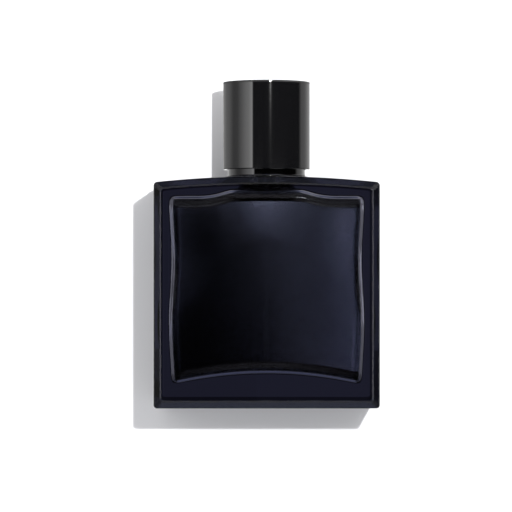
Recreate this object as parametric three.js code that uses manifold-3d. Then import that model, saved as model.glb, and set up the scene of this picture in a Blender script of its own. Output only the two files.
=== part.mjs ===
// Aftershave bottle: a square block of dark glass with a crimped spray pump, a metal collar
// and a pull-off cylindrical cap. Millimetres, +Z up, the origin at the middle of the base,
// -Y is the front, where the nozzle points.

import * as THREE from "three";
import { mergeVertices } from "three/addons/utils/BufferGeometryUtils.js";
import Module from "manifold-3d";

const wasm = await Module();
wasm.setup();

// ---------- driving dimensions ----------

// Glass block
const BODY_W = 72; // width
const BODY_D = 38; // front to back
const SHOULDER_Z = 72; // height of the block at its upper corners
const CROWN = 1.9; // how far the top arches up to the neck
const CORNER_R = 0.7; // small radius on the four outer corners
const BEVEL_FACE = 2.2; // bevel round the front and back faces, seen face on
const BEVEL_DEEP = 1.5; // the same bevel, seen from the side
const BASE_RECESS = { w: 58, d: 25, h: 0.6 }; // push-up in the base, so that it stands on a rim

// Cavity: a blown hollow, whose sides wave gently and whose floor arches up
const CAVITY_D = 30;
const CAVITY_HALF_W = 30.6;
const SIDE_WAVE = 0.45; // how far the side walls wave in and out
const WAVE_LENGTH = 41; // height of one wave
const WAVE_CREST_Z = 27; // height where the cavity is widest
const FLOOR_Z = 10.8; // top of the arched floor
const FLOOR_RISE = 3.6; // arch height from the lower corners to the middle
const ROOF_Z = 67.9; // roof over the outer thirds
const ROOF_SAG = 0.25; // how far the roof falls from the middle to the sides
const THROAT_Z = 70.2; // roof where it lifts into the neck
const CAVITY_CORNER = 3.6;
const CAVITY_ROUND = { face: 1.5, deep: 4.5 }; // rounding from the side walls to the flat faces

// Neck finish for a 20 mm crimped pump
const NECK_R = 8.8; // groove under the bead
const BEAD_R = 9.9;
const MOUTH_R = 6.6;
const LANDING_R = 13.2; // flat round seat under the collar
const LANDING_Z = SHOULDER_Z + CROWN + 0.4;
const BEAD_FOOT_Z = 75.9;
const MOUTH_Z = 79.2;
const THROAT_R = 9.4; // wide foot of the throat, which opens into the cavity
const THROAT_TOP_Z = 73.4; // height where the throat has narrowed to the mouth
const NECK_FOOT_Z = 70; // the neck is rooted this deep in the block

// Collar and cap
const COLLAR_R = 12.55; // base ring, the part that shows below the cap
const COLLAR_RING_TOP = 77.0;
const SPIGOT_R = 11.95; // upper part, inside the cap
const COLLAR_TOP = 85.6;
const CAP_R = 14.05;
const CAP_FOOT_Z = 76.5;
const CAP_TOP_Z = 104.8;
const CAP_WALL = 1.05;
const CAP_ROOF = 2.0;
const CAP_EDGE_R = 0.5; // soft edge round the top
const LINER_ROOF_Z = 98.5;

// Pump
const BARREL_BORE_R = 3.5;
const BARREL_R = 4.3;
const SPRING_LEDGE_Z = 64.0;
const SOCKET_Z = 54.0; // lower end of the pump housing
const STEM_R = 1.95;
const STEM_TOP_Z = 90.0;
const TURRET_TOP_Z = 84.0;
const BALL_R = 1.2;
const BALL_Z = 60.87;
const TUBE_R = 1.35;
const TUBE_END_Z = 12.0;

// Button
const BUTTON_R = 7.4;
const BUTTON_TOP_Z = 92.8;
const NOZZLE_Z = 89.9;
const NOZZLE_R = 1.6;

// Fill
const LOTION_Z = 67.4; // level of the lotion, just under the roof
const WET_GAP = 0.3; // gap left between the lotion and what it touches

const ROUND = 40; // facets of the large round pieces
const SMALL = 24; // facets of the small ones

// ---------- materials ----------

const material = (color, roughness, metalness = 0) =>
  new THREE.MeshStandardMaterial({ color, roughness, metalness });

const darkGlass = material(0x0e111d, 0.04);
const navyLotion = material(0x10162a, 0.02);
const gunmetal = material(0x4a4b50, 0.12, 1);
const gloss = material(0x101012, 0.08);
const satinBlack = material(0x1a1a1c, 0.45);
const whitePlastic = material(0xe8e8e4, 0.4);
const aluminium = material(0xc9cbcf, 0.3, 1);
const steel = material(0x9ea1a6, 0.25, 1);
const greyRubber = material(0x5b5d60, 0.8);
const clearPlastic = material(0xdfe4e8, 0.15);

// ---------- helpers ----------

// Turns a profile of [radius, height] points about the Z axis. A profile that leaves the axis is closed
// on itself, and either way its points run anticlockwise, so that the faces point out.
function turned(profile, segments = ROUND) {
  const points = profile.map(([r, z]) => new THREE.Vector2(r, z));
  if (THREE.ShapeUtils.area(points) < 0) points.reverse();
  if (profile[0][0] > 0) points.push(points[0].clone());
  return new THREE.LatheGeometry(points, segments).rotateX(Math.PI / 2);
}

// Points of an arc in a profile, from one angle to another, in degrees.
function arc(r, z, radius, from, to, steps) {
  return Array.from({ length: steps + 1 }, (_, i) => {
    const angle = THREE.MathUtils.degToRad(from + ((to - from) * i) / steps);
    return [r + radius * Math.cos(angle), z + radius * Math.sin(angle)];
  });
}

// Stands an outline in X and Z up, and gives it a depth in Y with edges rounded over front and back.
function slab(outline, depth, { face, deep, steps = 1 }) {
  return new THREE.ExtrudeGeometry(new THREE.Shape(outline), {
    depth: depth - 2 * deep,
    steps: 1,
    bevelEnabled: true,
    bevelSize: face,
    bevelOffset: -face,
    bevelThickness: deep,
    bevelSegments: steps,
  })
    .translate(0, 0, deep - depth / 2)
    .rotateX(Math.PI / 2);
}

function solid(geometry) {
  const bare = new THREE.BufferGeometry().setAttribute(
    "position",
    (geometry.index ? geometry.toNonIndexed() : geometry).getAttribute("position"),
  );
  const merged = mergeVertices(bare, 1e-4);
  const corners = merged.index.array;
  const triVerts = [];
  for (let i = 0; i < corners.length; i += 3) {
    const [a, b, c] = corners.slice(i, i + 3);
    if (a !== b && b !== c && c !== a) triVerts.push(a, b, c);
  }
  const mesh = new wasm.Mesh({
    numProp: 3,
    vertProperties: merged.attributes.position.array,
    triVerts: new Uint32Array(triVerts),
  });
  return new wasm.Manifold(mesh);
}

function geometryOf(manifold) {
  const mesh = manifold.getMesh();
  return new THREE.BufferGeometry()
    .setAttribute("position", new THREE.BufferAttribute(mesh.vertProperties, 3))
    .setIndex(new THREE.BufferAttribute(mesh.triVerts, 1));
}

// The body with every tool taken out of it.
function cut(body, ...tools) {
  return tools.reduce((rest, tool) => rest.subtract(solid(tool)), body);
}

const bottle = new THREE.Group();

function piece(name, geometry, look) {
  const mesh = new THREE.Mesh(geometry, look);
  mesh.name = name;
  bottle.add(mesh);
  return mesh;
}

// ---------- glass bottle ----------

// Outline of the block seen from the front: four corners, and one shallow arc over the top.
function blockOutline(cornerR) {
  const chord = BODY_W / 2 - CORNER_R;
  const crownR = (chord ** 2 + CROWN ** 2) / (2 * CROWN);
  const crownZ = SHOULDER_Z + CROWN - crownR;
  const sweep = 0.97 * THREE.MathUtils.radToDeg(Math.asin(chord / crownR));
  const corner = (x, z, from) => (cornerR ? arc(x, z, cornerR, from, from + 90, 3) : [[x, z]]);
  const [x, lowZ, highZ] = [BODY_W / 2 - cornerR, cornerR, SHOULDER_Z - cornerR];
  return [
    ...corner(-x, lowZ, 180),
    ...corner(x, lowZ, 270),
    ...corner(x, highZ, 0),
    ...arc(0, crownZ, crownR, 90 - sweep, 90 + sweep, 24),
    ...corner(-x, highZ, 90),
  ].map(([across, z]) => new THREE.Vector2(across, z));
}

const sideAt = (z) =>
  CAVITY_HALF_W + SIDE_WAVE * Math.cos((2 * Math.PI * (z - WAVE_CREST_Z)) / WAVE_LENGTH);
const floorAt = (x) => FLOOR_Z - FLOOR_RISE * (x / CAVITY_HALF_W) ** 2;
const roofAt = (x) =>
  ROOF_Z +
  (THROAT_Z - ROOF_Z) * (1 - THREE.MathUtils.smoothstep(Math.abs(x), 11, 18)) -
  ROOF_SAG * (x / CAVITY_HALF_W) ** 2;

// Cavity outline, seen from the front, with each corner rounded off by a short curve.
function cavityOutline() {
  const lowZ = floorAt(CAVITY_HALF_W) + CAVITY_CORNER;
  const highZ = ROOF_Z - CAVITY_CORNER;
  const insetX = CAVITY_HALF_W - CAVITY_CORNER;
  const run = (from, to, steps, at) =>
    Array.from({ length: steps + 1 }, (_, i) => at(from + ((to - from) * i) / steps));
  const corner = (a, tip, b) => {
    const [p, q, r] = [a, tip, b].map(([x, z]) => new THREE.Vector2(x, z));
    return new THREE.QuadraticBezierCurve(p, q, r).getPoints(4).slice(1, -1);
  };
  const point = ([x, z]) => new THREE.Vector2(x, z);
  const right = run(lowZ, highZ, 12, (z) => [sideAt(z), z]);
  const top = run(insetX, -insetX, 24, (x) => [x, roofAt(x)]);
  const left = run(highZ, lowZ, 12, (z) => [-sideAt(z), z]);
  const bottom = run(-insetX, insetX, 8, (x) => [x, floorAt(x)]);
  const lowTip = [sideAt(lowZ), floorAt(CAVITY_HALF_W)];
  const highTip = [sideAt(highZ), roofAt(CAVITY_HALF_W)];
  return [
    ...right.map(point),
    ...corner(right.at(-1), highTip, top[0]),
    ...top.map(point),
    ...corner(top.at(-1), [-highTip[0], highTip[1]], left[0]),
    ...left.map(point),
    ...corner(left.at(-1), [-lowTip[0], lowTip[1]], bottom[0]),
    ...bottom.map(point),
    ...corner(bottom.at(-1), lowTip, right[0]),
  ];
}

const cavity = slab(cavityOutline(), CAVITY_D, { ...CAVITY_ROUND, steps: 3 });

function glassBottle() {
  const bevelled = slab(blockOutline(0), BODY_D, { face: BEVEL_FACE, deep: BEVEL_DEEP });
  const rounded = new THREE.ExtrudeGeometry(new THREE.Shape(blockOutline(CORNER_R)), {
    depth: BODY_D + 2,
    bevelEnabled: false,
  })
    .translate(0, 0, -BODY_D / 2 - 1)
    .rotateX(Math.PI / 2);
  const block = solid(bevelled).intersect(solid(rounded));
  const neck = turned([
    [0, NECK_FOOT_Z],
    [LANDING_R, NECK_FOOT_Z],
    [LANDING_R, LANDING_Z],
    [NECK_R, LANDING_Z],
    [NECK_R, BEAD_FOOT_Z],
    [BEAD_R, BEAD_FOOT_Z + 0.7],
    ...arc(BEAD_R - 0.7, MOUTH_Z - 0.7, 0.7, 0, 90, 2),
    [0, MOUTH_Z],
  ]);
  const throat = turned([
    [0, ROOF_Z - 2],
    [THROAT_R, ROOF_Z - 2],
    [THROAT_R, THROAT_Z],
    [MOUTH_R, THROAT_TOP_Z],
    [MOUTH_R, MOUTH_Z + 1],
    [0, MOUTH_Z + 1],
  ]);
  const recess = new THREE.BoxGeometry(BASE_RECESS.w, BASE_RECESS.d, 2 * BASE_RECESS.h);
  return cut(block.add(solid(neck)), cavity, throat, recess);
}

piece("glass_bottle", geometryOf(glassBottle()), darkGlass);

// ---------- pump parts that the crimp holds ----------

piece(
  "neck_gasket",
  turned([[6.9, MOUTH_Z + 0.05], [9.5, MOUTH_Z + 0.05], [9.5, 80.15], [6.9, 80.15]]),
  greyRubber,
);

const housingProfile = [
  [0.8, 59.0],
  [0.8, 59.9],
  [1.75, 60.8],
  [1.75, 63.3],
  [1.05, 63.4],
  [1.05, SPRING_LEDGE_Z],
  [BARREL_BORE_R, SPRING_LEDGE_Z],
  [BARREL_BORE_R, 80.7],
  [4.5, 80.7],
  [4.5, 83.3],
  [5.4, 83.3],
  [5.4, 81.2],
  [9.4, 81.2],
  [9.4, 80.2],
  [6.3, 80.2],
  [6.0, 76.0],
  [BARREL_R, 75.0],
  [BARREL_R, 62.0],
  [2.3, 59.5],
  [2.1, SOCKET_Z],
  [1.4, SOCKET_Z],
  [1.4, 59.0],
];
piece("pump_housing", turned(housingProfile, SMALL), satinBlack);

piece(
  "stem_seal",
  turned([[2.05, 80.75], [4.4, 80.75], [4.4, 81.65], [2.05, 81.65]], SMALL),
  greyRubber,
);
piece(
  "stem_guide",
  turned([[2.1, 81.7], [4.4, 81.7], [4.4, 83.3], [3.0, 83.3], [3.0, 82.9], [2.1, 82.9]], SMALL),
  whitePlastic,
);

// Aluminium crimp cup: it clamps the housing's flange and the gasket onto the bead.
piece(
  "crimp_ferrule",
  turned([
    [9.1, 75.1],
    [10.2, 75.1],
    [10.5, 75.4],
    [10.5, 81.5],
    [10.2, 81.8],
    [5.95, 81.8],
    [5.95, 83.7],
    [5.65, TURRET_TOP_Z],
    [2.6, TURRET_TOP_Z],
    [2.6, 83.5],
    [5.5, 83.5],
    [5.5, 81.35],
    [10.1, 81.35],
    [10.1, 75.6],
    [9.1, 75.6],
  ]),
  aluminium,
);

// ---------- pump parts that move ----------

// The stem is hollow from its top down to a side port, which the piston covers at rest.
function stem() {
  const body = solid(
    turned(
      [
        [0, 73.6],
        [1.0, 73.6],
        [1.2, 73.9],
        [1.2, 75.0],
        [2.9, 75.0],
        [2.9, 75.8],
        [1.5, 75.8],
        [1.5, 79.4],
        [3.2, 79.4],
        [3.2, 80.3],
        [STEM_R, 80.3],
        [STEM_R, STEM_TOP_Z],
        [0, STEM_TOP_Z],
      ],
      SMALL,
    ),
  );
  const boreFootZ = 76.1;
  const boreLength = STEM_TOP_Z + 1 - boreFootZ;
  const bore = new THREE.CylinderGeometry(0.6, 0.6, boreLength, 12)
    .rotateX(Math.PI / 2)
    .translate(0, 0, boreFootZ + boreLength / 2);
  const port = new THREE.CylinderGeometry(0.3, 0.3, 4, 8)
    .rotateZ(Math.PI / 2)
    .translate(0, 0, boreFootZ + 0.4);
  return cut(body, bore, port);
}
piece("pump_stem", geometryOf(stem()), whitePlastic);

piece(
  "piston",
  turned(
    [
      [1.6, 75.9],
      [2.7, 75.9],
      [3.42, 75.6],
      [3.42, 76.4],
      [2.7, 76.8],
      [2.7, 77.9],
      [3.42, 78.3],
      [3.42, 78.9],
      [2.7, 78.7],
      [1.6, 78.9],
    ],
    SMALL,
  ),
  whitePlastic,
);

// Return spring, from the ledge in the housing to the flange at the foot of the stem.
class Helix extends THREE.Curve {
  constructor(radius, fromZ, toZ, turns) {
    super();
    Object.assign(this, { radius, fromZ, toZ, turns });
  }
  getPoint(t, target = new THREE.Vector3()) {
    const angle = 2 * Math.PI * this.turns * t;
    const z = this.fromZ + (this.toZ - this.fromZ) * t;
    return target.set(this.radius * Math.cos(angle), this.radius * Math.sin(angle), z);
  }
}

const WIRE_R = 0.22;
const SPRING_TURNS = 7;
const springPath = new Helix(2.25, SPRING_LEDGE_Z + 0.3, 74.7, SPRING_TURNS);
const wireSection = new THREE.Shape(
  arc(0, 0, WIRE_R, 0, 300, 5).map(([x, y]) => new THREE.Vector2(x, y)),
);
piece(
  "return_spring",
  new THREE.ExtrudeGeometry(wireSection, {
    steps: SPRING_TURNS * 12,
    bevelEnabled: false,
    extrudePath: springPath,
  }),
  steel,
);

piece(
  "inlet_ball",
  new THREE.SphereGeometry(BALL_R, 16, 10).rotateX(Math.PI / 2).translate(0, 0, BALL_Z),
  steel,
);

// ---------- dip tube ----------

function dipTube() {
  const tube = turned([[0.8, TUBE_END_Z], [TUBE_R, TUBE_END_Z], [TUBE_R, 58.8], [0.8, 58.8]], SMALL);
  const slant = new THREE.BoxGeometry(8, 8, 4)
    .translate(0, 0, -2)
    .rotateY(THREE.MathUtils.degToRad(30))
    .translate(0, 0, TUBE_END_Z + 0.8);
  return cut(solid(tube), slant);
}
piece("dip_tube", geometryOf(dipTube()), clearPlastic);

// ---------- lotion ----------

// The lotion fills the cavity up to its level, and leaves room for the pump and the dip tube.
function lotion() {
  const middleZ = (ROOF_Z + FLOOR_Z) / 2;
  const halfH = (ROOF_Z - FLOOR_Z) / 2;
  const pool = cavity
    .clone()
    .translate(0, 0, -middleZ)
    .scale(1 - WET_GAP / CAVITY_HALF_W, 1 - (2 * WET_GAP) / CAVITY_D, 1 - WET_GAP / halfH)
    .translate(0, 0, middleZ);
  const air = new THREE.BoxGeometry(BODY_W, BODY_D, 20).translate(0, 0, LOTION_Z + 10);
  const pump = turned([
    [0, SOCKET_Z - WET_GAP],
    [2.3 + WET_GAP, SOCKET_Z - WET_GAP],
    [2.3 + WET_GAP, 59.5],
    [BARREL_R + WET_GAP, 62.0 - WET_GAP],
    [BARREL_R + WET_GAP, 75],
    [0, 75],
  ], SMALL);
  const tube = turned([
    [0, TUBE_END_Z - WET_GAP],
    [TUBE_R + WET_GAP, TUBE_END_Z - WET_GAP],
    [TUBE_R + WET_GAP, 60],
    [0, 60],
  ], SMALL);
  return cut(solid(pool), air, pump, tube);
}
piece("lotion", geometryOf(lotion()), navyLotion);

// ---------- collar ----------

piece(
  "collar_shell",
  turned([
    [11.45, LANDING_Z + 0.05],
    [COLLAR_R - 0.2, LANDING_Z + 0.05],
    [COLLAR_R, LANDING_Z + 0.25],
    [COLLAR_R, COLLAR_RING_TOP - 0.15],
    [COLLAR_R - 0.15, COLLAR_RING_TOP],
    [SPIGOT_R, COLLAR_RING_TOP],
    ...arc(SPIGOT_R - 0.4, COLLAR_TOP - 0.4, 0.4, 0, 90, 2),
    [7.9, COLLAR_TOP],
    [7.75, COLLAR_TOP - 0.15],
    [7.75, COLLAR_TOP - 0.6],
    [11.45, COLLAR_TOP - 0.6],
  ]),
  gunmetal,
);
piece(
  "collar_insert",
  turned([
    [10.65, LANDING_Z + 0.4],
    [11.35, LANDING_Z + 0.4],
    [11.35, COLLAR_TOP - 0.7],
    [8.2, COLLAR_TOP - 0.7],
    [8.2, COLLAR_TOP - 1.4],
    [10.65, COLLAR_TOP - 1.4],
  ]),
  satinBlack,
);

// ---------- button ----------

const nozzleBore = (radius, fromY, toY) =>
  new THREE.CylinderGeometry(radius, radius, toY - fromY, 20).translate(0, (fromY + toY) / 2, NOZZLE_Z);

function buttonShell() {
  const cup = turned([
    [0, BUTTON_TOP_Z],
    ...arc(BUTTON_R - 0.5, BUTTON_TOP_Z - 0.5, 0.5, 90, 0, 3),
    [BUTTON_R, 85.3],
    [BUTTON_R - 0.75, 85.3],
    [BUTTON_R - 0.75, BUTTON_TOP_Z - 0.6],
    [0, BUTTON_TOP_Z - 0.6],
  ]);
  return cut(solid(cup), nozzleBore(NOZZLE_R + 0.5, -9, -3));
}
piece("button_shell", geometryOf(buttonShell()), gunmetal);

function buttonCore() {
  const skirtZ = 85.7;
  const floorZ = 87.4;
  const plug = turned([
    [0, floorZ],
    [6.1, floorZ],
    [6.1, skirtZ],
    [6.55, skirtZ],
    [6.55, 92.1],
    [0, 92.1],
  ]);
  const socket = turned([
    [0, floorZ - 1],
    [2.05, floorZ - 1],
    [2.05, STEM_TOP_Z + 0.1],
    [0.9, STEM_TOP_Z + 0.1],
    [0.9, STEM_TOP_Z + 1.2],
    [0, STEM_TOP_Z + 1.2],
  ], SMALL);
  const channel = new THREE.CylinderGeometry(0.4, 0.4, 4.5, 10).translate(0, -2.25, STEM_TOP_Z + 0.6);
  return cut(solid(plug), socket, channel, nozzleBore(NOZZLE_R + 0.1, -9, -4));
}
piece("button_core", geometryOf(buttonCore()), satinBlack);

// The nozzle insert: a small plug with a swirl chamber behind its spray hole.
const insert = piece(
  "nozzle_insert",
  turned(
    [
      [0.8, 0],
      [NOZZLE_R, 0],
      [NOZZLE_R, 2.1],
      [NOZZLE_R - 0.2, 2.3],
      [0.5, 2.3],
      [0.2, 2.1],
      [0.2, 1.5],
      [0.8, 1.2],
    ],
    20,
  ),
  satinBlack,
);
insert.rotation.x = Math.PI / 2;
insert.position.set(0, -4.3, NOZZLE_Z);

// ---------- cap ----------

piece(
  "cap_shell",
  turned([
    [0, CAP_TOP_Z],
    ...arc(CAP_R - CAP_EDGE_R, CAP_TOP_Z - CAP_EDGE_R, CAP_EDGE_R, 90, 0, 3),
    [CAP_R, CAP_FOOT_Z + 0.15],
    [CAP_R - 0.15, CAP_FOOT_Z],
    [CAP_R - CAP_WALL, CAP_FOOT_Z],
    [CAP_R - CAP_WALL, CAP_TOP_Z - CAP_ROOF],
    [0, CAP_TOP_Z - CAP_ROOF],
  ]),
  gloss,
);

// A steel slug that gives the cap its weight.
piece(
  "cap_weight",
  turned([[2, LINER_ROOF_Z + 1.4], [12.5, LINER_ROOF_Z + 1.4], [12.5, 102.6], [2, 102.6]]),
  steel,
);

// The liner grips the collar's spigot with a low bead inside its mouth.
const LINER_R = 12.9;
const LINER_BORE_R = 12.12;
piece(
  "cap_liner",
  turned([
    [0, LINER_ROOF_Z + 1.2],
    [LINER_R, LINER_ROOF_Z + 1.2],
    [LINER_R, COLLAR_RING_TOP + 0.1],
    [LINER_BORE_R + 0.2, COLLAR_RING_TOP + 0.1],
    [LINER_BORE_R, COLLAR_RING_TOP + 0.6],
    [LINER_BORE_R, 79.0],
    [LINER_BORE_R - 0.08, 79.4],
    [LINER_BORE_R - 0.08, 79.9],
    [LINER_BORE_R, 80.3],
    [LINER_BORE_R, LINER_ROOF_Z],
    [0, LINER_ROOF_Z],
  ]),
  satinBlack,
);

export default bottle;
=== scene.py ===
# An aftershave bottle: a heavy square block of dark glass with a crimped spray pump, a gunmetal
# collar and a glossy black cap that pulls off. Everything is in metres, in the frame of the CAD
# model: +Z up, the base at zero, -Y the front.

import math

import bmesh
import bpy
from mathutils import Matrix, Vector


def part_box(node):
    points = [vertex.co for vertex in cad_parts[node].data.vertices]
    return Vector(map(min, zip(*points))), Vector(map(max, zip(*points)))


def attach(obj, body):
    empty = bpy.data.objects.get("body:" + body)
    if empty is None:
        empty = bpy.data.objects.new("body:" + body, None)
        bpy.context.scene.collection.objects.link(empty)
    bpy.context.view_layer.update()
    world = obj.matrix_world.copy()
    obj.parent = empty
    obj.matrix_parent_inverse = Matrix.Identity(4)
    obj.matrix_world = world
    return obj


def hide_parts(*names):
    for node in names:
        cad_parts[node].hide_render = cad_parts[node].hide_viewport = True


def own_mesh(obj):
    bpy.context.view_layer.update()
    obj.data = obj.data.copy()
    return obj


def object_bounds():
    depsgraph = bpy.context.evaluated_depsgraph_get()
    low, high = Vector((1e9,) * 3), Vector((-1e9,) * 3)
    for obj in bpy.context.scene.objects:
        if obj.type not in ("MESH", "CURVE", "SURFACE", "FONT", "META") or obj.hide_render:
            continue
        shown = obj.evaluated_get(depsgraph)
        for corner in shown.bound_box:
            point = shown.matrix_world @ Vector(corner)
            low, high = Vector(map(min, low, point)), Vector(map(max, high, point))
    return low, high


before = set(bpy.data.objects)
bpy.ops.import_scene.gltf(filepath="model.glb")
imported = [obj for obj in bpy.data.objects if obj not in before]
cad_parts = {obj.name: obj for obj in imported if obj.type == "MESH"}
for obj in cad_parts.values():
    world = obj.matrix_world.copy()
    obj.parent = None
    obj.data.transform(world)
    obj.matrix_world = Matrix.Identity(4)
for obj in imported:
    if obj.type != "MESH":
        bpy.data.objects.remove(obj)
cad_low, cad_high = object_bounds()
mm = 0.001


# ---------------------------------------------------------------- the glass block
# A heavy block of dark navy glass. Its faces are flat and polished, with a bevel mitred round the front
# and the back, the top is a shallow crown, and the base has a push-up so that it stands on its rim.


def begin(name, primitive, **where):
    """Adds a primitive with nothing else selected, and puts its place into its mesh."""
    bpy.ops.object.select_all(action="DESELECT")
    primitive(**where)
    piece = bpy.context.object
    piece.name = piece.data.name = name
    bpy.ops.object.transform_apply(location=True, rotation=True, scale=True)
    return piece


def edit(piece):
    bpy.ops.object.select_all(action="DESELECT")
    piece.select_set(True)
    bpy.context.view_layer.objects.active = piece
    bpy.ops.object.mode_set(mode="EDIT")
    bpy.ops.mesh.select_mode(type="VERT")
    bpy.ops.mesh.select_all(action="SELECT")


def done():
    bpy.ops.object.mode_set(mode="OBJECT")


def pick(kind, test):
    """Selects the vertices, edges or faces, in edit mode, that pass a test."""
    bpy.ops.mesh.select_mode(type=kind)
    bpy.ops.mesh.select_all(action="DESELECT")
    mesh = bmesh.from_edit_mesh(bpy.context.object.data)
    parts = {"VERT": mesh.verts, "EDGE": mesh.edges, "FACE": mesh.faces}[kind]
    for part in parts:
        if test(part):
            part.select_set(True)
    mesh.select_flush_mode()
    bmesh.update_edit_mesh(bpy.context.object.data)


def slices(axis):
    """Sorts the vertices of the mesh in edit mode into the planes they lie in across an axis."""
    mesh = bmesh.from_edit_mesh(bpy.context.object.data)
    mesh.verts.index_update()
    planes = []
    for vert in sorted(mesh.verts, key=lambda vert: vert.co[axis]):
        if not planes or vert.co[axis] - planes[-1][0] > 1e-6:
            planes.append((vert.co[axis], set()))
        planes[-1][1].add(vert.index)
    return planes


def add_loops(axis, low, high, count):
    """Cuts the mesh in edit mode by evenly spaced planes."""
    normal = [0, 0, 0]
    normal[axis] = 1
    for i in range(1, count):
        place = [0, 0, 0]
        place[axis] = low + (high - low) * i / count
        bpy.ops.mesh.select_all(action="SELECT")
        bpy.ops.mesh.bisect(plane_co=place, plane_no=normal)


def finish_with(piece, kind, **settings):
    """Adds a modifier and applies it."""
    bpy.ops.object.select_all(action="DESELECT")
    piece.select_set(True)
    bpy.context.view_layer.objects.active = piece
    modifier = piece.modifiers.new(kind.title(), kind)
    for name, value in settings.items():
        setattr(modifier, name, value)
    bpy.ops.object.modifier_apply(modifier=modifier.name)


def smooth(piece, degrees=35):
    bpy.ops.object.select_all(action="DESELECT")
    piece.select_set(True)
    bpy.context.view_layer.objects.active = piece
    bpy.ops.object.shade_smooth_by_angle(angle=math.radians(degrees))
    finish_with(piece, "WEIGHTED_NORMAL", keep_sharp=True, weight=100)


glass_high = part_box("glass_bottle")[1]
half_width, half_depth = glass_high.x, glass_high.y
shoulder = 72 * mm
crown = 1.9 * mm
bevel_face, bevel_deep = 2.2 * mm, 1.5 * mm
rim_y = half_depth - bevel_deep
corner_round, rim_round, edge_round = 1.0 * mm, 0.6 * mm, 0.35 * mm
foot_ring, push_up_slope, push_up = 5.5 * mm, 1.5 * mm, 0.6 * mm


def at_corner(edge):
    """The upright edges of the block, and the edges that run from its front to its back."""
    first, last = (vert.co for vert in edge.verts)
    return edge.calc_length() < half_width or abs(first.y - last.y) > half_depth


def on_rim(edge):
    """The edges where a bevel meets the sides, on the front and on the back."""
    first, last = (vert.co for vert in edge.verts)
    return all(abs(abs(co.y) - rim_y) < 1e-6 for co in (first, last)) and first.y * last.y > 0



glass = begin(
    "bottle_glass",
    bpy.ops.mesh.primitive_cube_add,
    size=1,
    location=(0, 0, shoulder / 2),
    scale=(2 * half_width, 2 * rim_y, shoulder),
)
edit(glass)
pick("FACE", lambda face: abs(face.normal.y) > 0.9)
bpy.ops.mesh.inset(thickness=bevel_face, depth=bevel_deep)
pick("EDGE", at_corner)
bpy.ops.mesh.bevel(offset=corner_round, segments=5, affect="EDGES", profile=0.5)
pick("EDGE", on_rim)
bpy.ops.mesh.bevel(offset=rim_round, segments=3, affect="EDGES", profile=0.5)
add_loops(0, -half_width, half_width, 24)
for x, members in slices(0):
    pick("VERT", lambda vert: vert.index in members)
    rise = 1 + crown / shoulder * (1 - (x / half_width) ** 2)
    bpy.ops.transform.resize(value=(1, 1, rise), center_override=(0, 0, 0))
done()
finish_with(
    glass,
    "BEVEL",
    width=edge_round,
    segments=3,
    limit_method="ANGLE",
    angle_limit=math.radians(25),
    use_clamp_overlap=True,
)
edit(glass)
pick("FACE", lambda face: face.normal.z < -0.99)
bpy.ops.mesh.inset(thickness=foot_ring, depth=0)
bpy.ops.mesh.inset(thickness=push_up_slope, depth=0)
bpy.ops.transform.translate(value=(0, 0, push_up))
done()


# ---------------------------------------------------------------- the neck
# The neck stands on a low round landing that the collar sits on. A bead under its mouth is what the
# pump's ferrule is crimped round.


def turned(name, rings, sides=96, round_by=0.0, segments=3):
    """Turns a piece about Z: a circle is extruded and resized from ring to ring. A ring of no radius
    closes an end, and a profile with two open ends is joined to itself."""
    solid = rings[0][0] == 0
    path = [ring for ring in rings if ring[0] > 0]
    if not solid:
        path = path + [path[0]]
    radius, height = path[0]
    circle = bpy.ops.mesh.primitive_circle_add
    piece = begin(name, circle, vertices=sides, radius=radius, location=(0, 0, height))
    edit(piece)
    if solid:
        bpy.ops.mesh.edge_face_add()
        pick("EDGE", lambda edge: True)
    for (r0, z0), (r1, z1) in zip(path, path[1:]):
        bpy.ops.mesh.extrude_edges_move(TRANSFORM_OT_translate={"value": (0, 0, z1 - z0)})
        bpy.ops.transform.resize(value=(r1 / r0, r1 / r0, 1), center_override=(0, 0, z1))
    if solid:
        bpy.ops.mesh.edge_face_add()
    bpy.ops.mesh.select_mode(type="VERT")
    bpy.ops.mesh.select_all(action="SELECT")
    bpy.ops.mesh.remove_doubles(threshold=1e-6)
    bpy.ops.mesh.normals_make_consistent(inside=False)
    done()
    if round_by:
        finish_with(
            piece,
            "BEVEL",
            width=round_by,
            segments=segments,
            limit_method="ANGLE",
            angle_limit=math.radians(30),
            use_clamp_overlap=True,
        )
    return piece


def combine(piece, tool, operation):
    """Joins a tool to a piece or cuts it out of it, and uses the tool up."""
    finish_with(piece, "BOOLEAN", object=tool, operation=operation, solver="EXACT")
    bpy.data.objects.remove(tool)


neck_root = 70 * mm
landing_r, landing_z = 13.2 * mm, shoulder + crown + 0.4 * mm
neck_r, bead_r, mouth_r = 8.8 * mm, 9.9 * mm, 6.6 * mm
bead_foot, mouth_z = 75.9 * mm, glass_high.z
neck = turned(
    "neck",
    [
        (0, neck_root),
        (landing_r, neck_root),
        (landing_r, landing_z),
        (neck_r, landing_z),
        (neck_r, bead_foot),
        (bead_r, bead_foot + 0.7 * mm),
        (bead_r, mouth_z),
        (0, mouth_z),
    ],
    round_by=0.25 * mm,
)
combine(glass, neck, "UNION")


# ---------------------------------------------------------------- the hollow
# The hollow is blown, so no wall of it is flat. The front and the back swell by about two millimetres and
# spread a little towards the top, the sides wave in and out, the floor arches up, and the middle of the
# roof lifts into the neck.

hollow_half, hollow_deep = 31.2 * mm, 12.0 * mm
floor_z, roof_z, throat_z = 7.0 * mm, 68.1 * mm, 70.2 * mm
floor_rise = 3.6 * mm
side_wave, wave_length, crest_z = 0.45 * mm, 41 * mm, 27 * mm
belly, taper = 0.2, 0.1
hollow_edge = 2.6 * mm
lift_inside, lift_outside = 11 * mm, 18 * mm
throat_r, throat_foot, throat_waist, throat_top = 9.4 * mm, 66 * mm, 73.4 * mm, 81 * mm


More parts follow.
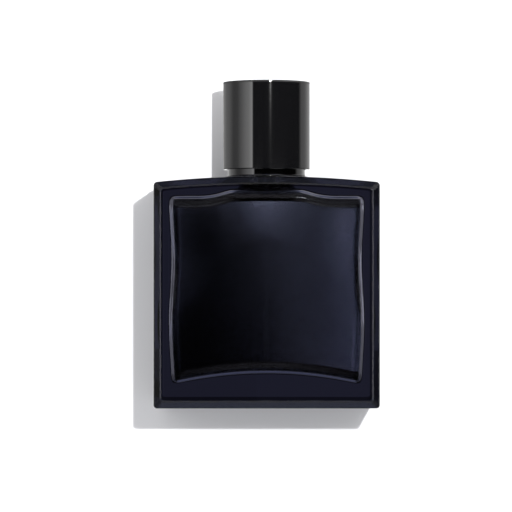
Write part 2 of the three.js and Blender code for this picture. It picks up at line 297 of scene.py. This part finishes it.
def step(value, low, high):
    """Rises smoothly from 0 to 1 between two values."""
    share = min(max((value - low) / (high - low), 0), 1)
    return share * share * (3 - 2 * share)


def blown(name, gap):
    """The shape of the hollow, drawn in by a gap all round."""
    half, deep = hollow_half - gap, hollow_deep - gap
    low, high = floor_z + gap, roof_z - gap
    middle = (low + high) / 2
    piece = begin(
        name,
        bpy.ops.mesh.primitive_cube_add,
        size=1,
        location=(0, 0, middle),
        scale=(2 * half, 2 * deep, high - low),
    )
    edit(piece)
    pick("EDGE", lambda edge: edge.verts[0].co.y * edge.verts[1].co.y > 0)
    bpy.ops.mesh.bevel(offset=hollow_edge, segments=3, affect="EDGES", profile=0.5)
    add_loops(0, -half, half, 16)
    add_loops(2, low, high, 12)
    columns = slices(0)
    for z, members in slices(2):
        pick("VERT", lambda vert: vert.index in members)
        wave = 1 + side_wave / hollow_half * math.cos(2 * math.pi * (z - crest_z) / wave_length)
        draft = 1 + taper * (z - middle) / (high - middle)
        bpy.ops.transform.resize(value=(wave, draft, 1), center_override=(0, 0, z))
    for x, members in columns:
        out = x / half
        bulge = 1 + belly * (1 - out**2)
        bottom = low + floor_rise * (1 - out**2)
        lift = 1 - step(abs(x), lift_inside, lift_outside)
        stretch = (high + (throat_z - roof_z) * lift - bottom) / (high - low)
        pick("VERT", lambda vert: vert.index in members)
        bpy.ops.transform.resize(value=(1, bulge, stretch), center_override=(0, 0, low))
        bpy.ops.transform.translate(value=(0, 0, bottom - low))
    done()
    finish_with(piece, "SUBSURF", levels=2, render_levels=2)
    return piece


combine(glass, blown("hollow", 0), "DIFFERENCE")
throat = turned(
    "throat",
    [
        (0, throat_foot),
        (throat_r, throat_foot),
        (throat_r, throat_z),
        (mouth_r, throat_waist),
        (mouth_r, throat_top),
        (0, throat_top),
    ],
    round_by=0.4 * mm,
)
combine(glass, throat, "DIFFERENCE")
smooth(glass)


class Value:
    """A number or a colour in a node tree. Arithmetic on it adds Math nodes."""

    def __init__(self, paint, socket):
        self.paint, self.socket = paint, socket

    def math(self, operation, *values):
        return self.paint.add("ShaderNodeMath", {"operation": operation}, dict(enumerate(values)))

    def __add__(self, other):
        return self.math("ADD", self, other)

    def __sub__(self, other):
        return self.math("SUBTRACT", self, other)

    def __rsub__(self, other):
        return self.math("SUBTRACT", other, self)

    def __mul__(self, other):
        return self.math("MULTIPLY", self, other)

    def __truediv__(self, other):
        return self.math("DIVIDE", self, other)

    __radd__ = __add__
    __rmul__ = __mul__


class Paint:
    """The node tree of a material, or of the world."""

    def __init__(self, owner):
        owner.use_nodes = True
        self.owner, self.tree = owner, owner.node_tree
        self.tree.nodes.clear()

    def add(self, kind, settings=None, sockets=None, out=0):
        """Adds a node, sets it up, and then fills its sockets with values or links."""
        node = self.tree.nodes.new(kind)
        for name, value in (settings or {}).items():
            if name == "stops":
                ramp = node.color_ramp
                for _ in value[2:]:
                    ramp.elements.new(0.5)
                for element, (place, level) in zip(ramp.elements, value):
                    element.position = place
                    element.color = (level, level, level, 1)
            else:
                setattr(node, name, value)
        for name, value in (sockets or {}).items():
            if isinstance(value, Value):
                self.tree.links.new(value.socket, node.inputs[name])
            else:
                node.inputs[name].default_value = value
        return Value(self, node.outputs[out])

    def noise(self, scale, detail=2.0):
        where = self.add("ShaderNodeTexCoord", out=3)
        return self.add("ShaderNodeTexNoise", {}, {"Vector": where, "Scale": scale, "Detail": detail})

    def bump(self, height, distance, strength=1.0):
        sockets = {"Height": height, "Distance": distance, "Strength": strength}
        return self.add("ShaderNodeBump", {}, sockets)

    def surface(self, volume=None, **sockets):
        """Ends a material in a Principled surface, and in a volume if it has one."""
        named = {name.replace("_", " "): value for name, value in sockets.items()}
        shader = self.add("ShaderNodeBsdfPrincipled", {}, named)
        ends = {"Surface": shader}
        if volume:
            ends["Volume"] = volume
        self.add_output("ShaderNodeOutputMaterial", ends)

    def add_output(self, kind, ends):
        node = self.tree.nodes.new(kind)
        for name, value in ends.items():
            self.tree.links.new(value.socket, node.inputs[name])


def material(name):
    return Paint(bpy.data.materials.new(name))


def install(piece, paint, body, slot, *nodes):
    """Gives a piece its material and the body it moves with, and hides the CAD nodes it stands for. The slot
    argument is not used.
    """
    piece.data.materials.clear()
    piece.data.materials.append(paint.owner)
    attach(piece, body)
    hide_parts(*nodes)


dark_glass = material("dark_glass")
absorbed = dark_glass.add(
    "ShaderNodeVolumeAbsorption", {}, {"Color": (0.055, 0.062, 0.19, 1), "Density": 135.0}
)
dark_glass.surface(
    absorbed,
    Base_Color=(1, 1, 1, 1),
    Roughness=0.0,
    IOR=1.5,
    Transmission_Weight=1.0,
)
install(glass, dark_glass, "bottle", "dark_glass", "glass_bottle")


# ---------------------------------------------------------------- the lotion
# The lotion is a dark navy liquid, filled to just under the shoulder. It stands clear of the pump and of
# the dip tube, which hang in it.

fill_z = 69.8 * mm
wet_gap = 0.3 * mm
tube_low, tube_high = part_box("dip_tube")
housing_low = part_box("pump_housing")[0]
lotion = blown("lotion_fill", wet_gap)
edit(lotion)
bpy.ops.mesh.bisect(plane_co=(0, 0, fill_z), plane_no=(0, 0, 1), clear_outer=True, use_fill=True)
done()
tube_hole_r, socket_hole_r, pump_hole_r = tube_high.x + wet_gap, 2.6 * mm, 4.3 * mm + wet_gap
pump_hole = turned(
    "pump_hole",
    [
        (0, tube_low.z - wet_gap),
        (tube_hole_r, tube_low.z - wet_gap),
        (tube_hole_r, housing_low.z - wet_gap),
        (socket_hole_r, housing_low.z - wet_gap),
        (socket_hole_r, 59.5 * mm),
        (pump_hole_r, 61.7 * mm),
        (pump_hole_r, 72 * mm),
        (0, 72 * mm),
    ],
    sides=48,
)
combine(lotion, pump_hole, "DIFFERENCE")
smooth(lotion)
navy_lotion = material("lotion")
soaked = navy_lotion.add(
    "ShaderNodeVolumeAbsorption", {}, {"Color": (0.17, 0.09, 0.28, 1), "Density": 1000.0}
)
navy_lotion.surface(
    soaked,
    Base_Color=(1, 1, 1, 1),
    Roughness=0.0,
    IOR=1.36,
    Transmission_Weight=1.0,
)
install(lotion, navy_lotion, "bottle", "lotion", "lotion")


# ---------------------------------------------------------------- the collar
# The collar is pressed from aluminium and plated a polished gunmetal. Its broad foot shows between the
# cap and the glass, and its upper part is the spigot that the cap grips.

collar_low, collar_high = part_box("collar_shell")
collar_r, collar_top, collar_foot = collar_high.x, collar_high.z, collar_low.z
spigot_r, foot_top, collar_bore, collar_eye = 11.95 * mm, 77 * mm, 11.45 * mm, 7.75 * mm
collar = turned(
    "collar",
    [
        (collar_bore, collar_foot),
        (collar_r, collar_foot),
        (collar_r, collar_foot + 0.3 * mm),
        (collar_r, foot_top - 0.3 * mm),
        (collar_r, foot_top),
        (spigot_r, foot_top),
        (spigot_r, collar_top),
        (collar_eye, collar_top),
        (collar_eye, collar_top - 0.6 * mm),
        (collar_bore, collar_top - 0.6 * mm),
    ],
    sides=128,
    round_by=0.15 * mm,
)
smooth(collar)
gunmetal = material("gunmetal")
haze = gunmetal.noise(900, 3)
gunmetal.surface(
    Base_Color=(0.02, 0.02, 0.022, 1),
    Metallic=1.0,
    Roughness=0.018 + haze * 0.01,
    Coat_Weight=1.0,
    Coat_IOR=1.6,
    Coat_Roughness=0.015,
)
install(collar, gunmetal, "bottle", "gunmetal", "collar_shell")

insert_low, insert_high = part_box("collar_insert")
insert_bore = 10.65 * mm
sleeve = turned(
    "collar_sleeve",
    [
        (insert_bore, insert_low.z),
        (insert_high.x, insert_low.z),
        (insert_high.x, insert_high.z),
        (8.2 * mm, insert_high.z),
        (8.2 * mm, insert_high.z - 0.7 * mm),
        (insert_bore, insert_high.z - 0.7 * mm),
    ],
    round_by=0.1 * mm,
)
smooth(sleeve)
satin_black = material("satin_plastic")
grain = satin_black.noise(6000)
satin_black.surface(
    Base_Color=(0.012, 0.012, 0.014, 1),
    Roughness=0.38 + grain * 0.12,
    Normal=satin_black.bump(grain, 0.00002, 0.3),
)
install(sleeve, satin_black, "bottle", "satin_plastic", "collar_insert")


# ---------------------------------------------------------------- the cap
# A glossy black cap with a tight radius round its top and a small chamfer round its foot, a snug plastic
# liner with a snap bead, and a steel slug between the liner and the roof that gives it its weight.

cap_low, cap_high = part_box("cap_shell")
cap_r, cap_foot, cap_top = cap_high.x, cap_low.z, cap_high.z
cap_bore, cap_roof = cap_r - 1.05 * mm, 2 * mm
straight = 0.6 * mm
cap = turned(
    "cap",
    [
        (0, cap_top),
        (cap_r, cap_top),
        (cap_r, cap_top - straight),
        (cap_r, cap_foot + straight),
        (cap_r, cap_foot),
        (cap_bore, cap_foot),
        (cap_bore, cap_top - cap_roof),
        (0, cap_top - cap_roof),
    ],
    sides=160,
)
edit(cap)
for edge_z, rounding, segments in ((cap_top, 0.15 * mm, 4), (cap_foot, 0.2 * mm, 1)):
    on_edge = lambda vert: abs(vert.co.z - edge_z) < 1e-6 and vert.co.xy.length > cap_r - 0.1 * mm
    pick("EDGE", lambda edge: all(map(on_edge, edge.verts)))
    bpy.ops.mesh.bevel(offset=rounding, segments=segments, affect="EDGES", profile=0.5)
done()
smooth(cap)
gloss_black = material("gloss_black")
polish = gloss_black.noise(700, 4)
gloss_black.surface(
    Base_Color=(0.004, 0.004, 0.0045, 1),
    Roughness=0.03 + polish * 0.01,
    IOR=1.85,
)
install(cap, gloss_black, "cap", "gloss_black", "cap_shell")

liner_low, liner_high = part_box("cap_liner")
liner_r, liner_bore = liner_high.x, 12.12 * mm
liner = turned(
    "cap_lining",
    [
        (0, liner_high.z),
        (liner_r, liner_high.z),
        (liner_r, liner_low.z),
        (liner_bore + 0.3 * mm, liner_low.z),
        (liner_bore, liner_low.z + 0.6 * mm),
        (liner_bore, 79.0 * mm),
        (liner_bore - 0.08 * mm, 79.4 * mm),
        (liner_bore - 0.08 * mm, 79.9 * mm),
        (liner_bore, 80.3 * mm),
        (liner_bore, liner_high.z - 1.2 * mm),
        (0, liner_high.z - 1.2 * mm),
    ],
    sides=128,
)
smooth(liner)
install(liner, satin_black, "cap", "satin_plastic", "cap_liner")

slug_low, slug_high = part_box("cap_weight")
slug_bore = 2 * mm
slug = turned(
    "cap_slug",
    [(slug_bore, slug_low.z), (slug_high.x, slug_low.z), (slug_high.x, slug_high.z), (slug_bore, slug_high.z)],
    round_by=0.2 * mm,
)
smooth(slug)
steel = material("steel")
drawn = steel.noise(2500)
steel.surface(Base_Color=(0.55, 0.55, 0.56, 1), Metallic=1.0, Roughness=0.16 + drawn * 0.12)
install(slug, steel, "cap", "steel", "cap_weight")


# ---------------------------------------------------------------- the dip tube and the pump's housing
# The tube hangs almost to the floor and is cut at a slant so that it can't seal itself off. The housing
# is the barrel of the pump, with the flange that rests on the mouth and the seat of the inlet valve.

tube_bore = 0.8 * mm
tube = turned(
    "feed_tube",
    [(tube_bore, tube_low.z), (tube_high.x, tube_low.z), (tube_high.x, tube_high.z), (tube_bore, tube_high.z)],
    sides=48,
)
slant = begin(
    "slant",
    bpy.ops.mesh.primitive_cube_add,
    size=6 * mm,
    location=(-1.5 * mm, 0, tube_low.z + 0.8 * mm - 2.6 * mm),
    rotation=(0, math.radians(30), 0),
)
combine(tube, slant, "DIFFERENCE")
smooth(tube)
clear_plastic = material("clear_plastic")
streaks = clear_plastic.noise(1200)
clear_plastic.surface(
    Base_Color=(0.86, 0.87, 0.88, 1),
    Roughness=0.12 + streaks * 0.1,
    IOR=1.5,
    Transmission_Weight=0.6,
)
install(tube, clear_plastic, "bottle", "clear_plastic", "dip_tube")

housing = turned(
    "pump_barrel",
    [
        (r * mm, z * mm)
        for r, z in (
            (1.75, 60.8), (1.75, 63.3), (1.05, 63.4), (1.05, 64), (3.5, 64), (3.5, 80.7), (4.5, 80.7),
            (4.5, 83.3), (5.4, 83.3), (5.4, 81.2), (9.4, 81.2), (9.4, 80.2), (6.3, 80.2), (6.0, 76.0),
            (4.3, 75.0), (4.3, 62.0), (2.3, 59.5), (2.1, 54), (1.4, 54), (1.4, 59.0), (0.8, 59), (0.8, 59.9),
        )
    ],
    sides=64,
    round_by=0.08 * mm,
    segments=2,
)
smooth(housing)
install(housing, satin_black, "bottle", "satin_plastic", "pump_housing")


# ---------------------------------------------------------------- the seals and the ferrule
# A rubber gasket lies between the flange and the mouth. The ferrule is pressed from thin aluminium, and
# its skirt is crimped under the bead of the neck.

gasket_low, gasket_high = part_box("neck_gasket")
gasket_eye, gasket_r = 6.9 * mm, 9.5 * mm
gasket = turned(
    "mouth_gasket",
    [
        (gasket_eye, gasket_low.z),
        (gasket_r, gasket_low.z),
        (gasket_r, gasket_high.z),
        (gasket_eye, gasket_high.z),
    ],
    sides=64,
    round_by=0.15 * mm,
)
smooth(gasket)
rubber = material("gasket_rubber")
crumb = rubber.noise(3500, 4)
rubber.surface(
    Base_Color=(0.02, 0.02, 0.021, 1), Roughness=0.62 + crumb * 0.2, Normal=rubber.bump(crumb, 0.00003, 0.4)
)
install(gasket, rubber, "bottle", "gasket_rubber", "neck_gasket")

stem_gasket = turned(
    "stem_gasket",
    [(2.05 * mm, 80.75 * mm), (4.4 * mm, 80.75 * mm), (4.4 * mm, 81.65 * mm), (2.05 * mm, 81.65 * mm)],
    sides=48,
    round_by=0.1 * mm,
)
smooth(stem_gasket)
install(stem_gasket, rubber, "bottle", "gasket_rubber", "stem_seal")

guide = turned(
    "guide_ring",
    [
        (r * mm, z * mm)
        for r, z in ((2.1, 81.7), (4.4, 81.7), (4.4, 83.3), (3.0, 83.3), (3.0, 82.9), (2.1, 82.9))
    ],
    sides=48,
    round_by=0.08 * mm,
)
smooth(guide)
white_plastic = material("white_plastic")
speck = white_plastic.noise(4000)
white_plastic.surface(
    Base_Color=(0.78, 0.78, 0.76, 1),
    Roughness=0.34 + speck * 0.1,
    Normal=white_plastic.bump(speck, 0.00001, 0.2),
)
install(guide, white_plastic, "bottle", "white_plastic", "stem_guide")

ferrule = turned(
    "ferrule",
    [
        (r * mm, z * mm)
        for r, z in (
            (10.2, 75.1), (10.5, 75.4), (10.5, 81.5), (10.2, 81.8), (5.95, 81.8), (5.95, 83.7), (5.65, 84),
            (2.6, 84), (2.6, 83.5), (5.5, 83.5), (5.5, 81.35), (10.1, 81.35), (10.1, 75.6), (9.1, 75.6),
            (9.1, 75.1),
        )
    ],
    round_by=0.1 * mm,
)
smooth(ferrule)
aluminium = material("plain_aluminium")
rolled = aluminium.noise(1800, 3)
aluminium.surface(Base_Color=(0.8, 0.81, 0.82, 1), Metallic=1.0, Roughness=0.2 + rolled * 0.16)
install(ferrule, aluminium, "bottle", "plain_aluminium", "crimp_ferrule")


# ---------------------------------------------------------------- what moves in the pump
# The stem is hollow and has a port in its side. The piston slides in the barrel and slips a little on the
# stem to open the port. The spring of steel wire stands under the stem, and shortens with the stroke. The
# steel ball is the inlet valve.

stem = turned(
    "stem",
    [
        (r * mm, z * mm)
        for r, z in (
            (0, 73.6), (1.0, 73.6), (1.2, 73.9), (1.2, 75.0), (2.9, 75.0), (2.9, 75.8), (1.5, 75.8),
            (1.5, 79.4), (3.2, 79.4), (3.2, 80.3), (1.95, 80.3), (1.95, 90), (0, 90),
        )
    ],
    sides=48,
    round_by=0.08 * mm,
)


def bore(piece, radius, length, middle, rotation=(0, 0, 0)):
    """Drills a round hole."""
    drill = begin(
        "drill",
        bpy.ops.mesh.primitive_cylinder_add,
        vertices=48,
        radius=radius,
        depth=length,
        location=middle,
        rotation=rotation,
    )
    combine(piece, drill, "DIFFERENCE")


along_x, along_y = (0, math.radians(90), 0), (math.radians(90), 0, 0)
bore(stem, 0.6 * mm, 15 * mm, (0, 0, 83.6 * mm))
bore(stem, 0.3 * mm, 5 * mm, (0, 0, 76.5 * mm), along_x)
smooth(stem)
install(stem, white_plastic, "plunger", "white_plastic", "pump_stem")

piston = turned(
    "sliding_piston",
    [
        (r * mm, z * mm)
        for r, z in (
            (1.6, 75.9), (2.7, 75.9), (3.42, 75.6), (3.42, 76.4), (2.7, 76.8), (2.7, 77.9), (3.42, 78.3),
            (3.42, 78.9), (2.7, 78.7), (1.6, 78.9),
        )
    ],
    sides=64,
    round_by=0.06 * mm,
)
smooth(piston)
install(piston, white_plastic, "pump_piston", "white_plastic", "piston")

spring_low, spring_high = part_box("return_spring")
wire, coils = 0.22 * mm, 7
spring = begin(
    "coil_spring",
    bpy.ops.mesh.primitive_circle_add,
    vertices=12,
    radius=wire,
    location=(spring_high.x - wire, 0, spring_low.z + wire),
    rotation=along_y,
)
finish_with(
    spring,
    "SCREW",
    axis="Z",
    iterations=coils,
    screw_offset=(spring_high.z - spring_low.z - 2 * wire) / coils,
    steps=32,
    render_steps=32,
)
edit(spring)
bpy.ops.mesh.fill_holes(sides=0)
bpy.ops.mesh.normals_make_consistent(inside=False)
done()
smooth(spring)
install(spring, steel, "bottle", "steel", "return_spring")
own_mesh(spring)

ball_low, ball_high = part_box("inlet_ball")
ball = begin(
    "valve_ball",
    bpy.ops.mesh.primitive_uv_sphere_add,
    segments=48,
    ring_count=24,
    radius=ball_high.x,
    location=(0, 0, (ball_low.z + ball_high.z) / 2),
)
smooth(ball, 180)
install(ball, steel, "valve", "steel", "inlet_ball")


# ---------------------------------------------------------------- the button
# The spray button is a plastic core, with the socket for the stem and a channel to the nozzle, in a cup
# of the same gunmetal as the collar. The swirl insert sits in the nozzle.

core = turned(
    "button_plug",
    [(r * mm, z * mm) for r, z in ((0, 87.4), (6.1, 87.4), (6.1, 85.7), (6.55, 85.7), (6.55, 92.1), (0, 92.1))],
    sides=64,
    round_by=0.12 * mm,
)
bore(core, 2.05 * mm, 3.7 * mm, (0, 0, 88.25 * mm))
bore(core, 0.9 * mm, 1.6 * mm, (0, 0, 90.4 * mm))
bore(core, 0.4 * mm, 4.5 * mm, (0, -2.25 * mm, 90.6 * mm), along_y)
nozzle_z = 89.9 * mm
bore(core, 1.7 * mm, 5 * mm, (0, -6.5 * mm, nozzle_z), along_y)
smooth(core)
install(core, satin_black, "button", "satin_plastic", "button_core")

button_low, button_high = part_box("button_shell")
shell = turned(
    "button_cup",
    [
        (0, button_high.z),
        (button_high.x - 0.5 * mm, button_high.z),
        (button_high.x - 0.15 * mm, button_high.z - 0.15 * mm),
        (button_high.x, button_high.z - 0.5 * mm),
        (button_high.x, button_low.z),
        (6.65 * mm, button_low.z),
        (6.65 * mm, 92.2 * mm),
        (0, 92.2 * mm),
    ],
    round_by=0.1 * mm,
)
bore(shell, 2.1 * mm, 6 * mm, (0, -6 * mm, nozzle_z), along_y)
smooth(shell)
install(shell, gunmetal, "button", "gunmetal", "button_shell")

nozzle = turned(
    "swirl_insert",
    [
        (r * mm, z * mm)
        for r, z in ((1.6, 0), (1.6, 2.1), (1.4, 2.3), (0.5, 2.3), (0.2, 2.1), (0.2, 1.5), (0.8, 1.2), (0.8, 0))
    ],
    sides=48,
    round_by=0.05 * mm,
)
nozzle.rotation_euler, nozzle.location = along_y, (0, -4.3 * mm, nozzle_z)
bpy.ops.object.transform_apply(location=True, rotation=True, scale=True)
smooth(nozzle)
install(nozzle, satin_black, "button", "satin_plastic", "nozzle_insert")


# ---------------------------------------------------------------- the floor, the light and the camera
# The bottle lies on its back on a plain pale floor and is looked at from straight above, so the floor is
# an upright plane behind it. It is clear from its other side, so that it never hides the bottle.

floor = begin(
    "floor",
    bpy.ops.mesh.primitive_plane_add,
    size=6,
    location=(0, cad_high.y + 0.0004, 0),
    rotation=(math.radians(90), 0, 0),
)
pale = material("pale_floor")
front = pale.add("ShaderNodeBsdfDiffuse", {}, {"Color": (0.87, 0.873, 0.895, 1)})
clear = pale.add("ShaderNodeBsdfTransparent")
behind = pale.add("ShaderNodeNewGeometry", out="Backfacing")
pale.add_output(
    "ShaderNodeOutputMaterial",
    {"Surface": pale.add("ShaderNodeMixShader", {}, {0: behind, 1: front, 2: clear})},
)
floor.data.materials.append(pale.owner)
floor.visible_glossy = False
floor.visible_transmission = False

# A small hard key from the upper right gives the shadow and the sparkle.
key = bpy.data.lights.new("key", "POINT")
key.energy = 27
key.shadow_soft_size = 0.011
lamp = bpy.data.objects.new("key", key)
lamp.location = (0.14, -0.784, 0.191)
bpy.context.scene.collection.objects.link(lamp)

# The studio all round, as bands of cards: each band is a ring of lights between two heights, given by
# bearing, with -180 and 180 behind the bottle, 0 in front and -90 on the left. Most are plain white, and
# the ones that glow in the hollow and on the top and bottom bevels are a cool blue.
studio = Paint(bpy.data.worlds.new("studio"))
bpy.context.scene.world = studio.owner
direction = studio.add("ShaderNodeTexCoord", out=0)
split = studio.add("ShaderNodeSeparateXYZ", {}, {0: direction})
x, y, z = (Value(studio, socket) for socket in split.socket.node.outputs)
turn = studio.add("ShaderNodeMath", {"operation": "ARCTAN2"}, {0: x, 1: y * -1}) / math.tau + 0.5


def card_band(bottom, top, soft, *cards):
    """A band of the studio between two heights, from 0 to 4 times as bright as the floor."""
    stops = [(bearing / 360 + 0.5, light / 4) for bearing, light in cards]
    ring = studio.add("ShaderNodeValToRGB", {"stops": stops}, {0: turn})
    up = studio.add("ShaderNodeMapRange", {}, {0: z, 1: bottom - soft, 2: bottom + soft, 3: 0.0, 4: 4.0})
    down = studio.add("ShaderNodeMapRange", {}, {0: z, 1: top - soft, 2: top + soft, 3: 1.0, 4: 0.0})
    return ring * up * down


beside_cap = card_band(
    0.0285, 0.072, 0.0004,
    (-180, 0.7), (-153, 0.68), (-132, 0.66), (-115, 0.68), (-98, 0.35), (-83, 0.42), (-69, 0.95),
    (-57, 1.5), (-48, 1.8), (-39, 2.6), (-36, 0.01), (95, 0.01), (106, 0.6), (121, 0.62), (139, 0.9),
    (180, 1.0),
)
beside_block = card_band(
    -0.07, 0.0285, 0.0004,
    (-180, 1.7), (-172, 1.7), (-166, 0.1), (-160, 1.0), (-150, 1.3), (-110, 0.8), (-90, 0.3), (-60, 0.3),
    (-50, 1.6), (-14, 1.4), (-8, 0.01), (8, 0.01), (14, 1.8), (45, 1.8), (55, 0.05), (80, 0.05), (95, 1.5),
    (135, 1.4), (150, 0.3), (165, 0), (172, 2.1), (180, 1.8),
)
dusk = card_band(
    -0.22, -0.083, 0.002,
    (-60, 0), (-30, 0.7), (-25, 0.25), (-22, 0.12), (-19, 0.08), (-12.6, 0.12), (-8, 0.2), (-3.3, 0.32),
    (1.4, 0.45), (6, 0.4), (11, 0.2), (14, 0),
)
glow = card_band(
    -0.22, -0.083, 0.002,
    (-3.3, 0), (1.4, 0.08), (6, 0.35), (11, 0.75), (14, 1.1), (17.5, 1.4), (20, 1.8), (21.6, 2.3),
    (24, 3.4), (30, 3.4), (60, 0),
)
spot = card_band(
    -0.13, -0.083, 0.009,
    (-22, 0.2), (-14, 0.3), (-8, 0.7), (-5, 1.5), (-2, 2.1), (2, 2.1), (5, 1.2), (9, 0.5), (14, 0.1), (20, 0),
)
above = card_band(
    0.085, 0.84, 0.01, (-180, 0.6), (-90, 0.5), (-50, 0.9), (-20, 0.8), (0, 0.7), (20, 0.9), (60, 1.2),
    (90, 1.0), (180, 0.7),
)
below = card_band(
    -0.84, -0.24, 0.04, (-180, 0.4), (-90, 0.3), (-50, 0.25), (-25, 0.5), (0, 0.9), (25, 0.55), (50, 0.3),
    (90, 0.3), (180, 0.4),
)
overhead = card_band(0.84, 0.975, 0.01, (-180, 0.3), (-90, 0.3), (0, 0.24), (90, 0.3), (180, 0.3))
underfoot = card_band(-1.01, -0.84, 0.01, (-180, 0.4), (-90, 0.4), (0, 0.6), (90, 0.4), (180, 0.4))
flank = card_band(-0.24, -0.07, 0.002, (-70, 0.6), (-60, 0), (60, 0), (70, 0.6))
sparks = card_band(0.19, 0.25, 0.004, (10, 0), (11, 4), (15, 4), (16, 0)) * 10
white = beside_cap + beside_block + above + below + flank + sparks
cool = dusk * (z * 12 + 2.8) + glow * (0.1 - z * 6) + spot + overhead + underfoot
path = studio.add("ShaderNodeLightPath", out="Is Camera Ray")
diffuse = Value(studio, path.socket.node.outputs["Is Diffuse Ray"])
fill = 0.93 - x * 0.46 + z * 0.25
shown = (1 - path) * (1 - diffuse)
plain = studio.add("ShaderNodeBackground", {}, {"Strength": path + diffuse * fill + shown * white})
blue = studio.add("ShaderNodeBackground", {}, {"Color": (0.88, 0.96, 1.32, 1), "Strength": shown * cool})
both = studio.add("ShaderNodeAddShader", {}, {0: plain, 1: blue})
studio.add_output("ShaderNodeOutputWorld", {"Surface": both})

bpy.context.scene.view_settings.view_transform = "Standard"

lens = bpy.data.cameras.new("camera")
lens.lens, lens.sensor_width = 180.7, 36
lens.clip_end = 20
camera = bpy.data.objects.new("camera", lens)
camera.location = (-3.4 * mm, cad_low.y - 815 * mm, 48.5 * mm)
camera.rotation_euler = (math.radians(90), 0, 0)
bpy.context.scene.collection.objects.link(camera)
bpy.context.scene.camera = camera
